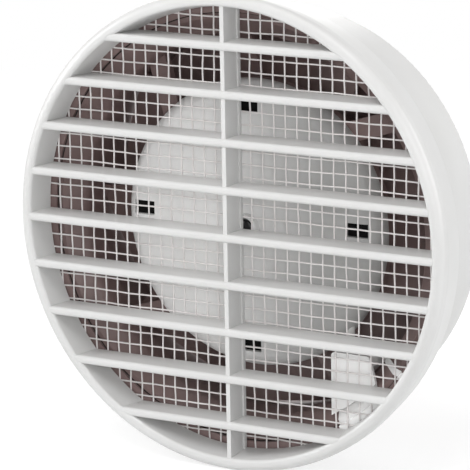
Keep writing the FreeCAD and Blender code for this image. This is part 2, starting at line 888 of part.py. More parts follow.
def make_board_screws():
    body = new_body("board_screws_body")
    shank = axial_pad(body, draw_board_screw_hole, board_front, plate_back)
    head = axial_pad(body, lambda sketch: draw_circle(sketch, standoff_circle, ZERO, s.board_screw_head_radius),
                     board_front - s.board_screw_head_height, board_front)
    repeat_round(body, [shank, head], s.board_screw_count)
    turn_about_axis(body, s.board_screw_turn)
    publish(body, "board_screws")


def make_stator_core():
    """The laminated stack, a hub with teeth whose heads nearly meet."""
    body = new_body("stator_core_body")
    stack_back = s.stack_front + s.stack_length
    revolve(body, ring(tube_radius, stack_radius, s.stack_front, stack_back))
    half_step = s.full_turn / s.tooth_count / 2
    slot_outer = stack_radius - s.tooth_head
    tooth_half = s.tooth_width / 2
    mouth_half = s.slot_opening / 2
    inner_half = s.stack_hub_radius * sine(half_step) - tooth_half * cosine(half_step)
    outer_half = slot_outer * sine(half_step) - tooth_half * cosine(half_step)
    inner_reach = s.stack_hub_radius * cosine(half_step) + tooth_half * sine(half_step)
    outer_reach = slot_outer * cosine(half_step) + tooth_half * sine(half_step)
    slot = axial_pocket(body, lambda sketch: draw_outline(sketch, [
        (inner_reach, -inner_half),
        (outer_reach, -outer_half),
        (slot_outer, -mouth_half),
        (stack_radius + s.overrun, -mouth_half),
        (stack_radius + s.overrun, mouth_half),
        (slot_outer, mouth_half),
        (outer_reach, outer_half),
        (inner_reach, inner_half),
    ]), s.stack_front - s.overrun, stack_back + s.overrun)
    repeat_round(body, [slot], s.tooth_count)
    turn_about_axis(body, half_step)
    publish(body, "stator_core")


def make_stator_coils():
    """One rectangular coil round each tooth."""
    body = new_body("stator_coils_body")
    stack_back = s.stack_front + s.stack_length
    coil_start = s.stack_hub_radius + s.coil_thickness
    coil_end = stack_radius - s.tooth_head - s.coil_thickness
    inner_half = s.tooth_width / 2 + s.coil_clearance
    outer_half = inner_half + s.coil_thickness
    sketch = new_sketch(body, "YZ_Plane", coil_start)
    draw_outline(sketch, rectangle(s.stack_front - s.coil_overhang, -outer_half,
                                   stack_back + s.coil_overhang, outer_half))
    draw_outline(sketch, rectangle(s.stack_front - s.coil_clearance, -inner_half,
                                   stack_back + s.coil_clearance, inner_half))
    coil = body.newObject("PartDesign::Pad", "coil_pad")
    coil.Profile = sketch
    coil.setExpression("Length", (coil_end - coil_start).text)
    doc.recompute()
    repeat_round(body, [coil], s.tooth_count)
    publish(body, "stator_coils")


def make_bearing(name, start):
    """A ball bearing: two rings with a groove each, and the balls between them."""
    middle = start + s.bearing_width / 2
    pitch_radius = (s.shaft_radius + s.bearing_radius) / 2
    end = start + s.bearing_width
    track = s.ball_radius + s.ball_clearance
    for part, inner, outer in (("outer", pitch_radius + s.race_land, s.bearing_radius),
                               ("inner", s.shaft_radius, pitch_radius - s.race_land)):
        body = new_body(f"{name}_{part}_body")
        revolve(body, ring(inner, outer, start, end))
        sketch = new_sketch(body, "XY_Plane")
        draw_circle(sketch, pitch_radius, middle, track)
        race = body.newObject("PartDesign::Groove", f"{name}_{part}_race")
        race.Profile = sketch
        race.ReferenceAxis = (sketch, ["V_Axis"])
        race.setExpression("Angle", s.full_turn.text)
        doc.recompute()
        publish(body, f"{name}_{part}_ring")
    balls = []
    step = s.full_turn / s.ball_count
    for index in range(int(s.ball_count.value)):
        ball = doc.addObject("Part::Sphere", f"{name}_ball_{index}")
        x, z = polar(pitch_radius, step * index)
        ball.setExpression("Radius", s.ball_radius.text)
        ball.setExpression("Placement.Base.x", x.text)
        ball.setExpression("Placement.Base.y", middle.text)
        ball.setExpression("Placement.Base.z", z.text)
        balls.append(ball)
    group = doc.addObject("Part::Compound", f"{name}_balls_group")
    group.Links = balls
    publish(group, f"{name}_balls")


def make_shaft():
    """The shaft, with a groove near its front end for the retaining clip."""
    clip_back = front_bearing - s.washer_thickness
    clip_front = clip_back - s.clip_ring_thickness
    groove_radius = s.shaft_radius - s.clip_groove_depth
    body = new_body("motor_shaft_body")
    revolve(body, [
        (ZERO, s.shaft_front),
        (s.shaft_radius, s.shaft_front),
        (s.shaft_radius, clip_front),
        (groove_radius, clip_front),
        (groove_radius, clip_back),
        (s.shaft_radius, clip_back),
        (s.shaft_radius, bell_back),
        (ZERO, bell_back),
    ])
    publish(body, "motor_shaft")
    clip = new_body("retaining_clip_body")
    revolve(clip, ring(groove_radius, s.clip_ring_radius, clip_front, clip_back), s.clip_ring_sweep)
    publish(clip, "retaining_clip")
    washer = new_body("shaft_washer_body")
    revolve(washer, ring(s.shaft_radius, s.washer_radius, clip_back, front_bearing))
    publish(washer, "shaft_washer")


def make_rotor_bell():
    """The steel cup that turns round the stator, pressed on the shaft."""
    body = new_body("rotor_bell_body")
    revolve(body, [
        (s.shaft_radius, bell_boss_front),
        (s.bell_boss_radius, bell_boss_front),
        (s.bell_boss_radius, bell_floor),
        (bell_inner_radius, bell_floor),
        (bell_inner_radius, s.bell_front),
        (bell_radius, s.bell_front),
        (bell_radius, bell_back),
        (s.shaft_radius, bell_back),
    ])
    axial_screw = axial_pocket(body, draw_impeller_screw_hole, bell_floor - s.overrun, bell_back + s.overrun)
    repeat_round(body, [axial_screw], s.impeller_screw_count)
    publish(body, "rotor_bell")
    magnet_front = s.stack_front + s.stack_length / 2 - s.magnet_length / 2
    magnet = new_body("magnet_ring_body")
    revolve(magnet, ring(bell_inner_radius - s.magnet_thickness, bell_inner_radius,
                         magnet_front, magnet_front + s.magnet_length))
    publish(magnet, "magnet_ring")


def draw_impeller_screw_hole(sketch):
    draw_circle(sketch, s.impeller_screw_circle, ZERO, s.impeller_screw_radius)


def make_impeller():
    """A round hub over the rotor bell with overlapping twisted blades."""
    body = new_body("impeller_body")
    revolve(body, [
        (ZERO, s.hub_front),
        (hub_radius, s.hub_front),
        (hub_radius, hub_back, s.hub_round),
        (ZERO, hub_back),
    ])
    root = draw_blade_section(body, bell_radius - s.blade_root_depth, hub_radius * s.blade_root_span_share,
                              hub_radius * s.blade_root_curve_share)
    tip = draw_blade_section(body, frame_radius, frame_radius * s.blade_tip_span_share,
                             frame_radius * s.blade_tip_curve_share)
    blade = body.newObject("PartDesign::AdditiveLoft", "impeller_blade")
    blade.Profile = root
    blade.Sections = [tip]
    blade.Ruled = True
    doc.recompute()
    repeat_round(body, [blade], s.blade_count)
    outer_limit = spigot_radius * 2
    groove(body, ring(tip_radius, outer_limit, s.blade_front - s.hub_front, s.spigot_length))
    groove(body, ring(ZERO, bell_radius, s.hub_front - s.overrun, bell_back))
    hole = axial_pocket(body, draw_impeller_screw_hole, bell_back - s.overrun, hub_back + s.overrun)
    repeat_round(body, [hole], s.impeller_screw_count)
    publish(body, "impeller")


def draw_blade_section(body, reach, span, curve):
    """A curved blade section in Y and Z, at a distance from the axis along X."""
    sketch = new_sketch(body, "YZ_Plane", reach)
    half = span / 2
    near = s.blade_front
    far = blade_back
    lower = [(near, -half), (far, half)]
    upper = [(near + s.blade_thickness, -half), (far + s.blade_thickness, half)]
    ends = [blade_edge(sketch, lower[0], upper[0]), blade_edge(sketch, lower[1], upper[1])]
    for position, side in ((1, lower), (2, upper)):
        arc = sketch.addGeometry(shallow_arc(vector(*side[0]), vector(*side[1]), curve.value), False)
        sketch.addConstraint(Sketcher.Constraint("Coincident", arc, 1, ends[0], position))
        sketch.addConstraint(Sketcher.Constraint("Coincident", arc, 2, ends[1], position))
        bind(sketch, Sketcher.Constraint("Radius", arc, curve.value), curve)
    return sketch


def blade_edge(sketch, start, end):
    line = sketch.addGeometry(Part.LineSegment(vector(*start), vector(*end)), False)
    pin_point(sketch, line, 1, *start)
    pin_point(sketch, line, 2, *end)
    return line


def shallow_arc(start, end, radius):
    """The short arc of a given radius that goes anticlockwise from start to end."""
    chord = end - start
    middle = (start + end) / 2
    rise = math.sqrt(radius ** 2 - (chord.Length / 2) ** 2)
    centre = middle + FreeCAD.Vector(-chord.y, chord.x, 0).normalize() * rise
    first = math.atan2(start.y - centre.y, start.x - centre.x)
    last = math.atan2(end.y - centre.y, end.x - centre.x)
    if last < first:
        last += 2 * math.pi
    return Part.ArcOfCircle(Part.Circle(centre, FreeCAD.Vector(0, 0, 1), radius), first, last)


def make_impeller_screws():
    body = new_body("impeller_screws_body")
    shank = axial_pad(body, draw_impeller_screw_hole, bell_floor, hub_back)
    head = axial_pad(body, lambda sketch: draw_circle(sketch, s.impeller_screw_circle, ZERO,
                                                      s.impeller_screw_head_radius),
                     hub_back, hub_back + s.impeller_screw_head_height)
    repeat_round(body, [shank, head], s.impeller_screw_count)
    publish(body, "impeller_screws")


def box_outline(inset, rounding):
    """The terminal box in X and Z, with its corner cut off to follow the ring."""
    left = box_left + inset
    right = box_right - inset
    top = box_top - inset
    bottom = box_bottom + inset
    return [
        (left, bottom, rounding),
        (right - throat_radius * s.box_corner_width_share, bottom),
        (right, bottom + throat_radius * s.box_corner_height_share),
        (right, top, rounding),
        (left, top, rounding),
    ]


def apron_outline():
    """The front of the terminal cover, which reaches out over the flared ring."""
    step = (s.apron_end - s.apron_start) / 3
    edge = [polar(apron_radius, s.apron_start + step * index) for index in range(4)]
    return [(box_left, box_top, s.box_round), *edge, (box_right, box_top, s.box_round)]


def make_terminal_box():
    """An open tray on the lower right arm and the lid that closes it."""
    tray = new_body("terminal_box_body")
    axial_pad(tray, lambda sketch: draw_outline(sketch, box_outline(ZERO, s.box_round)),
              s.box_seam, s.plate_front)
    axial_pocket(tray, lambda sketch: draw_outline(sketch, box_outline(s.box_wall, s.box_inner_round)),
                 s.box_seam - s.overrun, box_floor)
    lead_hole = motor_lead_rod("terminal_box_lead_hole", s.lead_radius + s.lead_clearance)
    cable_hole = radial_cylinder("terminal_box_cable_hole", s.grommet_radius + s.grommet_clearance,
                                 grommet_inner_end - s.overrun, s.rim_radius, s.grommet_angle, s.grommet_depth)
    holes = fuse("terminal_box_holes", [lead_hole, cable_hole])
    publish(cut("terminal_box_solid", tray, holes), "terminal_box")
    lid = new_body("terminal_cover_body")
    axial_pad(lid, lambda sketch: draw_outline(sketch, apron_outline()), s.box_front, s.box_front + s.box_wall)
    axial_pad(lid, lambda sketch: draw_outline(sketch, box_outline(ZERO, s.box_round)),
              s.box_front + s.box_wall / 2, s.box_seam)
    axial_pocket(lid, lambda sketch: draw_outline(sketch, box_outline(s.box_wall, s.box_inner_round)),
                 s.box_front + s.box_wall, s.box_seam + s.overrun)
    publish(lid, "terminal_cover")
    make_terminal_block()


def make_terminal_block():
    """The terminals on the tray's floor, and their screws."""
    half_width = (box_right - box_left) * s.terminal_block_width_share / 2
    half_length = (box_top - box_bottom) * s.terminal_block_length_share / 2
    centre_x = block_left + half_width
    centre_z = block_top - half_length
    top = box_floor - s.terminal_block_height
    base = block("terminal_block_solid", (centre_x - half_width, top, centre_z - half_length),
                 (centre_x + half_width, box_floor, centre_z + half_length))
    publish(base, "terminal_block")
    screws = []
    for name, z in (("upper", centre_z + half_length / 2), ("lower", centre_z - half_length / 2)):
        screws.append(cylinder(f"terminal_screw_{name}", s.terminal_screw_radius,
                               top - s.terminal_screw_head, top, centre_x, z))
    group = doc.addObject("Part::Compound", "terminal_screws_group")
    group.Links = screws
    publish(group, "terminal_screws")


def make_cable_grommet():
    """A rubber bush where the supply cable enters, flush with the spigot."""
    outer_end = spigot_radius - s.grommet_clearance * 2
    tube = radial_cylinder("grommet_tube", s.grommet_radius, grommet_inner_end, outer_end,
                           s.grommet_angle, s.grommet_depth)
    bore = radial_cylinder("grommet_bore_tool", s.grommet_bore, grommet_inner_end - s.overrun,
                           s.rim_radius, s.grommet_angle, s.grommet_depth)
    publish(cut("cable_grommet_solid", tube, bore), "cable_grommet")


def motor_lead_rod(name, radius):
    """The straight run from under the motor cover through the top of the terminal box."""
    inside = block_top
    outside = box_top + s.lead_run
    rod = doc.addObject("Part::Cylinder", name)
    rod.setExpression("Radius", radius.text)
    rod.setExpression("Height", (outside - inside).text)
    rod.setExpression("Placement.Base.x", (box_left + s.box_wall + s.lead_radius + s.lead_clearance).text)
    rod.setExpression("Placement.Base.y", s.lead_depth.text)
    rod.setExpression("Placement.Base.z", inside.text)
    return rod


def check_document():
    """Stop if any feature failed or any piece has no sound shape."""
    for item in doc.Objects:
        if "Invalid" in item.State or "Error" in item.State:
            raise RuntimeError(f"{item.Name} did not compute: {item.State}")
    for piece in NODES:
        if piece.Shape.isNull() or not piece.Shape.isValid():
            raise RuntimeError(f"{piece.Label} has no sound shape")


def write_pieces():
    os.makedirs("parts", exist_ok=True)
    for piece in NODES:
        piece.Shape.exportStep(f"parts/{piece.Label}.step")
        print(piece.Label, len(piece.Shape.Solids), round(piece.Shape.Volume, 1))


make_louvre_grille()
make_insect_mesh()
make_mesh_ring()
make_casing()
make_wall_seal()
make_frame_ring()
make_fan_frame()
make_frame_screws()
make_motor_cover()
make_drive_board()
make_stator_core()
make_stator_coils()
make_bearing("front_bearing", front_bearing)
make_bearing("rear_bearing", rear_bearing)
make_shaft()
make_rotor_bell()
make_impeller()
make_impeller_screws()
make_terminal_box()
make_cable_grommet()
publish(motor_lead_rod("motor_lead_solid", s.lead_radius), "motor_lead")
doc.recompute()
check_document()
write_pieces()
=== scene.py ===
"""A round louvred ventilation fan for a 150 mm duct: its looks, set around the CAD frame."""

import json
import math

import bmesh
import bpy
from mathutils import Matrix, Vector


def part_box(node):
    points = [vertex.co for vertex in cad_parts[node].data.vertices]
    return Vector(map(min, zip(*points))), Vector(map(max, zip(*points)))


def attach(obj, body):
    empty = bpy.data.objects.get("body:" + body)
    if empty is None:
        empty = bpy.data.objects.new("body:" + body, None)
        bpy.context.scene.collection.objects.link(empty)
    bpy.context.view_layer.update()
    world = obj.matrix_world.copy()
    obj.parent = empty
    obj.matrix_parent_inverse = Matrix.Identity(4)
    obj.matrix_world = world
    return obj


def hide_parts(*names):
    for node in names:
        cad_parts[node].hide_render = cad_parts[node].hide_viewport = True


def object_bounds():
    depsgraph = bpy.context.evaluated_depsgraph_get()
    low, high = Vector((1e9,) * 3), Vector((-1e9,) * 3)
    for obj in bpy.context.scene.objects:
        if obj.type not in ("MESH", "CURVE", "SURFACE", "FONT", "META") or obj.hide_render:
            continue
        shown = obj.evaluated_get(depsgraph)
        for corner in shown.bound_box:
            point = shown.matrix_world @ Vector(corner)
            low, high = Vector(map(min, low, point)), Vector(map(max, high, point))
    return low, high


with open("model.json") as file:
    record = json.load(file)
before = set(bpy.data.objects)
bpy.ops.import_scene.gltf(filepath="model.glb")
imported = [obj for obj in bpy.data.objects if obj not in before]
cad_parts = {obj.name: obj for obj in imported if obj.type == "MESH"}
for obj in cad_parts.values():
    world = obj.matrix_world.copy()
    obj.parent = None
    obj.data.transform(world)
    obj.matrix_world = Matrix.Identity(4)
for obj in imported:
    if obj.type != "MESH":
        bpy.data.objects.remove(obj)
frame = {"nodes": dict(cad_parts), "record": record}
cad_low, cad_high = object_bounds()
nodes = frame["nodes"]

MM = 0.001
QUARTER_TURN = math.pi / 2
FULL_TURN = 2.0 * math.pi


def in_metres(points):
    """Points in millimetres as points in metres."""
    return tuple(tuple(value * MM for value in point) for point in points)


def rgb(red, green, blue):
    return (red, green, blue, 1.0)


# Camera, as the photograph was taken
LOUVRE_FRONT = Vector((0.0, -16.0 * MM, 0.0))
CAMERA_TURN = math.radians(30.6)
CAMERA_RISE = math.radians(13.1)
CAMERA_ROLL = math.radians(-1.05)
CAMERA_DISTANCE = 1.2458
CAMERA_LENS = 273.5
CAMERA_SENSOR = 36.0
CAMERA_SHIFT = (0.0234, 0.0022)
CAMERA_CLIP = (0.05, 50.0)

# Softboxes that face the fan's centre: name, place, diameter in metres and power in watts
SOFTBOXES = (
    ("key_softbox", (-1.6, -0.75, 0.45), 0.7, 13.0),
    ("fill_softbox", (0.95, -1.45, 0.35), 0.8, 9.5),
    ("top_softbox", (0.1, -0.9, 1.4), 1.0, 12.5),
    ("side_softbox", (1.5, 0.55, 0.4), 1.2, 11.0),
    ("rear_softbox", (-0.9, 1.5, 0.7), 1.2, 10.0),
)

# White of the studio: as strong as the camera sees it, and as it lights the fan
WHITE = rgb(1.0, 1.0, 1.0)
SEEN_STRENGTH = 1.0
AMBIENT_STRENGTH = 0.45

# Floor, with the distances at which it starts to fade and is white
FLOOR_HALF_WIDTH = 4.0
FLOOR_PAPER = rgb(0.8, 0.8, 0.8)
FLOOR_SHADOW = rgb(0.34, 0.34, 0.34)
FLOOR_GLOW = 0.72
FLOOR_FADE = (0.25, 0.8)

# Plastic: the noise values between which shade sets in, and the usual grain
PATCH_EDGES = (0.32, 0.72)
PATCH_SCALE = 30.0
GRAIN_SCALE = 2500.0
GRAIN_STRENGTH = 0.12
GLOSS_SPREAD = 0.1

# Dust: how far up a face has to look, and how the drifts thin out and dull the gloss
UPWARD_LOOK = (0.2, 0.95)
DRIFT_EDGES = (0.3, 0.7)
DRIFT_SCALE = 60.0
THINNEST_DRIFT = 0.35
DUST_DULLNESS = 0.4
PALE_DUST = rgb(0.45, 0.42, 0.40)
BROWN_DUST = rgb(0.40, 0.32, 0.31)

# Metal: streaks that run along Y, and the gloss that streaks and stains take
STREAK_STRETCH = (1.0, 0.06, 1.0)
STREAK_SCALE = 900.0
STREAK_DULLNESS = 0.16
STREAK_STRENGTH = 0.08
STAIN_EDGES = (0.45, 0.75)
STAIN_SCALE = 120.0
STAIN_DULLNESS = 0.15

# Height that a full bump stands for
BUMP_HEIGHT = 0.1 * MM

# Insect net
NET_PITCH = 4.7 * MM
NET_THREAD_RADIUS = 0.31 * MM
NET_THREAD_SIDES = 6
NET_STEPS_PER_PITCH = 4.0
NET_WEAVE_HEIGHT = 0.09 * MM
NET_WANDER = 0.45 * MM
NET_WANDER_SCALE = 55.0
NET_WANDER_DETAIL = 1.5
NET_RADIUS = 81.0 * MM
NET_LEVEL = -4.6 * MM
NET_SEED = 7.0

# Turned shapes: the steps round a screw and round the cap, and the radius that counts as none
SCREW_SEGMENTS = 40
CAP_SEGMENTS = 32
NO_RADIUS = 1e-9

# Cross recess: how far its sides taper, and how far its cutter stands out, as shares
CROSS_TAPER = 0.6
CROSS_OVERHANG = 0.5

# Countersunk screws round the spigot; profiles are (radius, height), crosses are length, width and depth
FRAME_SCREW_PROFILE = in_metres((
    (0.0, -9.0), (0.6, -8.6), (1.0, -7.6), (1.0, -1.05), (1.85, -0.16), (1.92, -0.06), (1.85, 0.0),
    (0.0, 0.0)))
FRAME_SCREW_CROSS = (2.3 * MM, 0.5 * MM, 0.7 * MM)
FRAME_SCREW_COUNT = 4
FRAME_SCREW_TURN = math.radians(36.0)
FRAME_SCREW_LEVEL = 10.5 * MM
SPIGOT_RADIUS = 74.5 * MM

# Pan head screws on the impeller
IMPELLER_SCREW_PROFILE = in_metres((
    (0.0, -4.0), (1.25, -4.0), (1.25, 0.0), (2.4, 0.0), (2.4, 0.55), (2.2, 0.95), (1.6, 1.28), (0.9, 1.4),
    (0.0, 1.4)))
IMPELLER_SCREW_CROSS = (2.5 * MM, 0.6 * MM, 0.8 * MM)
IMPELLER_SCREW_COUNT = 3
IMPELLER_SCREW_CIRCLE = 22.0 * MM
IMPELLER_SCREW_SEAT = 31.5 * MM

# Near-black sheets behind the motor cover's windows, which paint the shade inside them
WINDOW_COUNT = 4
WINDOW_CIRCLE = 43.2 * MM
SHADE_FILM_LEVEL = 3.0 * MM
SHADE_FILM_SIZE = (11.6 * MM, 0.4 * MM, 13.0 * MM)

# Rubber seal in the joint between the flare and the net's ring, which also paints the shade line of that
# joint
SEAL_RADIUS = 77.0 * MM
SEAL_LEVEL = -3.1 * MM
SEAL_SECTION_RADIUS = 0.26 * MM
SEAL_SECTION_SIDES = 8
SEAL_STEPS = 180

# Dust cap on the shaft's front end, as (radius, height)
CAP_PROFILE = in_metres(((0.0, -1.0), (2.8, -1.0), (2.8, 0.1), (2.55, 0.28), (1.6, 0.42), (0.0, 0.46)))

# White plates that lie on the flare, as (radius, level) from the throat to the net's ring
FLARE_PROFILE = in_metres(((68.5, 2.85), (75.06, -3.15), (76.9, -3.2), (77.3, -4.3), (80.4, -4.3)))
PLATE_THICKNESS = 0.4 * MM
PLATE_ROUNDING = 0.1 * MM
PLATE_ROUNDING_SEGMENTS = 3
PLATE_STEPS = 16

# Angles in degrees of a plate's two sides, each at the throat and at the net's ring
APRON_SIDES = ((-59.0, -60.5), (-44.5, -44.5))
STRAP_SIDES = ((-39.4, -36.3), (-37.2, -34.3))


# Objects and nodes

def add_object(name, data):
    """Put a new object into the scene, at the origin."""
    made = bpy.data.objects.new(name, data)
    bpy.context.scene.collection.objects.link(made)
    return made


def feed(tree, source, socket):
    """Link a socket to another one, or set its value."""
    if isinstance(source, bpy.types.NodeSocket):
        tree.links.new(source, socket)
    else:
        socket.default_value = source


def add_node(tree, kind, settings=None, **sockets):
    """Add a node; settings are its options, sockets its inputs by name with spaces as underscores."""
    made = tree.nodes.new(kind)
    for option, value in (settings or {}).items():
        setattr(made, option, value)
    for label, source in sockets.items():
        feed(tree, source, made.inputs[label.replace("_", " ")])
    return made


def feed_in_order(tree, made, sources):
    """Feed a node whose inputs share a name."""
    for socket, source in zip(made.inputs, sources):
        feed(tree, source, socket)


def math_node(tree, operation, first, second=0.0, clamp=False):
    made = add_node(tree, "ShaderNodeMath", {"operation": operation, "use_clamp": clamp})
    feed_in_order(tree, made, (first, second))
    return made.outputs[0]


def times(tree, first, second, clamp=False):
    return math_node(tree, "MULTIPLY", first, second, clamp)


def plus(tree, first, second, clamp=False):
    return math_node(tree, "ADD", first, second, clamp)


def spread(tree, value, low, high, to_low=0.0, to_high=1.0):
    """Stretch the values from low to high over another range."""
    made = add_node(tree, "ShaderNodeMapRange", Value=value, From_Min=low, From_Max=high,
                    To_Min=to_low, To_Max=to_high)
    return made.outputs["Result"]


def mix_colour(tree, share, first, second):
    """Mix two colours; on this node they are inputs 6 and 7, and output 2."""
    made = add_node(tree, "ShaderNodeMix", {"data_type": "RGBA"})
    feed(tree, share, made.inputs[0])
    feed(tree, first, made.inputs[6])
    feed(tree, second, made.inputs[7])
    return made.outputs[2]


def mix_shaders(tree, share, first, second):
    made = tree.nodes.new("ShaderNodeMixShader")
    feed_in_order(tree, made, (share, first, second))
    return made.outputs[0]


def object_place(tree):
    return tree.nodes.new("ShaderNodeTexCoord").outputs["Object"]


def axis_of(tree, vector, axis):
    return add_node(tree, "ShaderNodeSeparateXYZ", Vector=vector).outputs[axis]


def length_of(tree, vector):
    made = add_node(tree, "ShaderNodeVectorMath", {"operation": "LENGTH"}, Vector=vector)
    return made.outputs["Value"]


def vector_of(tree, x=0.0, y=0.0, z=0.0):
    return add_node(tree, "ShaderNodeCombineXYZ", X=x, Y=y, Z=z).outputs[0]


# Studio

def place_camera():
    turn, rise, roll = CAMERA_TURN, CAMERA_RISE, CAMERA_ROLL
    back = Vector((math.sin(turn) * math.cos(rise), -math.cos(turn) * math.cos(rise), math.sin(rise)))
    right = Vector((math.cos(turn), math.sin(turn), 0.0))
    up = back.cross(right)
    tilted_right = right * math.cos(roll) + up * math.sin(roll)
    tilted_up = up * math.cos(roll) - right * math.sin(roll)
    lens = bpy.data.cameras.new("photo_camera")
    lens.lens = CAMERA_LENS
    lens.sensor_width = CAMERA_SENSOR
    lens.shift_x, lens.shift_y = CAMERA_SHIFT
    lens.clip_start, lens.clip_end = CAMERA_CLIP
    camera = add_object("photo_camera", lens)
    turned = Matrix((tilted_right, tilted_up, back)).transposed().to_4x4()
    camera.matrix_world = Matrix.Translation(LOUVRE_FRONT + back * CAMERA_DISTANCE) @ turned
    bpy.context.scene.camera = camera


def light_studio():
    for name, place, size, power in SOFTBOXES:
        lamp = bpy.data.lights.new(name, "AREA")
        lamp.shape = "DISK"
        lamp.size = size
        lamp.energy = power
        softbox = add_object(name, lamp)
        softbox.location = place
        softbox.rotation_euler = (-Vector(place)).to_track_quat("-Z", "Y").to_euler()


def seen_directly(tree):
    """One for rays that come straight from the camera, a mirror or glass."""
    path = tree.nodes.new("ShaderNodeLightPath").outputs
    first = math_node(tree, "MAXIMUM", path["Is Camera Ray"], path["Is Glossy Ray"])
    return math_node(tree, "MAXIMUM", first, path["Is Transmission Ray"])


def make_world():
    """White where it is seen, and a softer white where it lights the fan."""
    world = bpy.data.worlds.new("white_studio")
    world.use_nodes = True
    tree = world.node_tree
    tree.nodes.clear()
    ambient = add_node(tree, "ShaderNodeBackground", Color=WHITE, Strength=AMBIENT_STRENGTH)
    shown = add_node(tree, "ShaderNodeBackground", Color=WHITE, Strength=SEEN_STRENGTH)
    both = mix_shaders(tree, seen_directly(tree), ambient.outputs[0], shown.outputs[0])
    add_node(tree, "ShaderNodeOutputWorld", Surface=both)
    bpy.context.scene.world = world


def make_floor_paper():
    """Paper that keeps the shadow and fades to plain white away from the fan."""
    material = bpy.data.materials.new("studio_floor")
    material.use_nodes = True
    tree = material.node_tree
    tree.nodes.clear()
    paper = add_node(tree, "ShaderNodeBsdfDiffuse", Color=FLOOR_PAPER)
    shadow = add_node(tree, "ShaderNodeBsdfDiffuse", Color=FLOOR_SHADOW)
    glow = add_node(tree, "ShaderNodeEmission", Color=WHITE, Strength=FLOOR_GLOW)
    white = add_node(tree, "ShaderNodeEmission", Color=WHITE, Strength=SEEN_STRENGTH)
    lit = tree.nodes.new("ShaderNodeAddShader")
    feed_in_order(tree, lit, (shadow.outputs[0], glow.outputs[0]))
    distance = length_of(tree, object_place(tree))
    faded = mix_shaders(tree, spread(tree, distance, *FLOOR_FADE), lit.outputs[0], white.outputs[0])
    both = mix_shaders(tree, seen_directly(tree), paper.outputs[0], faded)
    add_node(tree, "ShaderNodeOutputMaterial", Surface=both)
    return material


def make_floor():
    half, level = FLOOR_HALF_WIDTH, cad_low.z
    corners = [(-half, -half, level), (half, -half, level), (half, half, level), (-half, half, level)]
    mesh = bpy.data.meshes.new("studio_floor")
    mesh.from_pydata(corners, [], [(0, 1, 2, 3)])
    mesh.materials.append(make_floor_paper())
    floor = add_object("studio_floor", mesh)


# Finishes

COLOUR, NUMBER = "NodeSocketColor", "NodeSocketFloat"


def start_group(name, inputs, outputs):
    """A shader group, with the sockets that it is given and those that it puts out."""
    tree = bpy.data.node_groups.new(name, "ShaderNodeTree")
    for label, kind, value in inputs:
        tree.interface.new_socket(label, in_out="INPUT", socket_type=kind).default_value = value
    for label, kind in outputs:
        tree.interface.new_socket(label, in_out="OUTPUT", socket_type=kind)
    return tree, tree.nodes.new("NodeGroupInput").outputs, tree.nodes.new("NodeGroupOutput").inputs


def noise(tree, scale, detail, distortion=0.0):
    """Noise on Object coordinates."""
    made = add_node(tree, "ShaderNodeTexNoise", Vector=object_place(tree), Scale=scale, Detail=detail,
                    Distortion=distortion)
    return made.outputs["Fac"]


def make_moulded_skin():
    """Moulded plastic: soft patches of shade, an even fine grain and slightly uneven gloss."""
    tree, given, out = start_group("moulded_skin", [
        ("Colour", COLOUR, rgb(0.8, 0.8, 0.8)),
        ("Shade", COLOUR, rgb(0.7, 0.7, 0.7)),
        ("Patch Scale", NUMBER, PATCH_SCALE),
        ("Grain Scale", NUMBER, GRAIN_SCALE),
        ("Roughness", NUMBER, 0.4),
        ("Roughness Spread", NUMBER, GLOSS_SPREAD),
    ], [("Colour", COLOUR), ("Roughness", NUMBER), ("Height", NUMBER)])
    patches = spread(tree, noise(tree, given["Patch Scale"], detail=4.0, distortion=0.4), *PATCH_EDGES)
    feed(tree, mix_colour(tree, patches, given["Colour"], given["Shade"]), out["Colour"])
    uneven = times(tree, math_node(tree, "SUBTRACT", patches, 0.5), given["Roughness Spread"])
    feed(tree, plus(tree, given["Roughness"], uneven), out["Roughness"])
    feed(tree, noise(tree, given["Grain Scale"], detail=2.0), out["Height"])
    return tree


def make_settled_dust():
    """Dust that lies on faces that look up, in thin uneven drifts."""
    tree, given, out = start_group("settled_dust", [
        ("Colour", COLOUR, rgb(0.8, 0.8, 0.8)),
        ("Roughness", NUMBER, 0.4),
        ("Dust", COLOUR, PALE_DUST),
        ("Amount", NUMBER, 0.3),
        ("Drift Scale", NUMBER, DRIFT_SCALE),
    ], [("Colour", COLOUR), ("Roughness", NUMBER)])
    normal = tree.nodes.new("ShaderNodeNewGeometry").outputs["Normal"]
    upward = spread(tree, axis_of(tree, normal, "Z"), *UPWARD_LOOK)
    drifts = spread(tree, noise(tree, given["Drift Scale"], detail=6.0, distortion=0.6), *DRIFT_EDGES,
                    to_low=THINNEST_DRIFT)
    cover = times(tree, times(tree, upward, drifts), given["Amount"], clamp=True)
    feed(tree, mix_colour(tree, cover, given["Colour"], given["Dust"]), out["Colour"])
    dull = times(tree, cover, DUST_DULLNESS)
    feed(tree, plus(tree, given["Roughness"], dull, clamp=True), out["Roughness"])
    return tree


